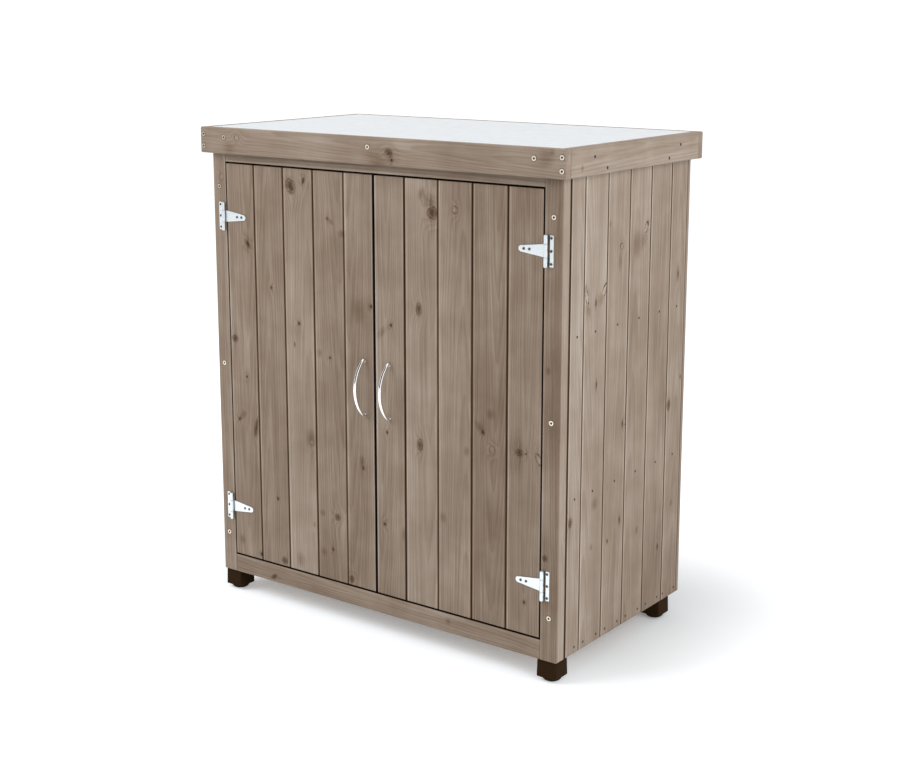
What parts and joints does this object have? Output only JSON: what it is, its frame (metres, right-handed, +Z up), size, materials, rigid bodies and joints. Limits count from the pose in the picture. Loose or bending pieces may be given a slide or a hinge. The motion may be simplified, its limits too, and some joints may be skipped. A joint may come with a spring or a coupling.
{
  "type": "garden storage cabinet",
  "caption": "Upright wooden garden cabinet with tongue and groove doors on tee hinges, bow handles, inner shelves, dark feet and a framed steel worktop.",
  "frame": {"origin": "on the floor, in the middle of the space that the closed cabinet takes up, handles included", "axes": "+X to the right of someone who faces the doors, +Y from the doors to the back, +Z up"},
  "size_m": [0.772, 0.4514, 0.868],
  "materials": {
    "stained_fir": "taupe grey wood stain over planed fir, with knots and grain showing through",
    "bare_fir": "planed, untreated",
    "galvanised_sheet": "galvanised, pale and softly reflecting",
    "zinc": "bright zinc plate",
    "chrome_handle": "polished chrome",
    "screw_steel": "yellow zinc plate",
    "dark_plastic": "moulded, matt"
  },
  "bodies": {
    "carcass": {"back_boards": "stained_fir", "back_bottom_rail": "bare_fir", "back_fascia": "stained_fir", "back_shelf_bearers": "bare_fir", "back_top_rail": "bare_fir", "fascia_screws": "screw_steel", "floor_board": "bare_fir", "frame_screws": "screw_steel", "front_bottom_rail": "stained_fir", "front_fascia": "stained_fir", "front_left_foot": "dark_plastic", "front_right_foot": "dark_plastic", "front_top_rail": "stained_fir", "hinge_pins": "zinc", "hinge_plate_screws": "zinc", "left_fascia": "stained_fir", "left_front_post": "stained_fir", "left_lower_hinge_plate": "zinc", "left_rear_post": "bare_fir", "left_side_bearers": "bare_fir", "left_side_boards": "stained_fir", "left_upper_hinge_plate": "zinc", "lower_shelf": "bare_fir", "magnetic_catches": "dark_plastic", "rear_left_foot": "dark_plastic", "rear_right_foot": "dark_plastic", "right_fascia": "stained_fir", "right_front_post": "stained_fir", "right_lower_hinge_plate": "zinc", "right_rear_post": "bare_fir", "right_side_bearers": "bare_fir", "right_side_boards": "stained_fir", "right_upper_hinge_plate": "zinc", "top_board": "bare_fir", "top_sheet": "galvanised_sheet", "upper_shelf": "bare_fir"},
    "left_door": {"left_door_board_1": "stained_fir", "left_door_board_2": "stained_fir", "left_door_board_3": "stained_fir", "left_door_board_4": "stained_fir", "left_door_board_5": "stained_fir", "left_door_ledges": "bare_fir", "left_strike_plate": "zinc", "left_handle": "chrome_handle", "left_lower_hinge_strap": "zinc", "left_upper_hinge_strap": "zinc", "left_door_screws": "zinc"},
    "right_door": {"right_door_board_1": "stained_fir", "right_door_board_2": "stained_fir", "right_door_board_3": "stained_fir", "right_door_board_4": "stained_fir", "right_door_board_5": "stained_fir", "right_door_ledges": "bare_fir", "right_strike_plate": "zinc", "right_handle": "chrome_handle", "right_lower_hinge_strap": "zinc", "right_upper_hinge_strap": "zinc", "right_door_screws": "zinc"}
  },
  "joints": [
    {"name": "left_door_swing", "type": "hinge", "parent": "carcass", "child": "left_door", "pos_m": [-0.345, -0.1997, 0.438], "axis": [0, 0, -1], "range_deg": [0, 180]},
    {"name": "right_door_swing", "type": "hinge", "parent": "carcass", "child": "right_door", "pos_m": [0.345, -0.1997, 0.438], "axis": [0, 0, 1], "range_deg": [0, 180]}
  ]
}
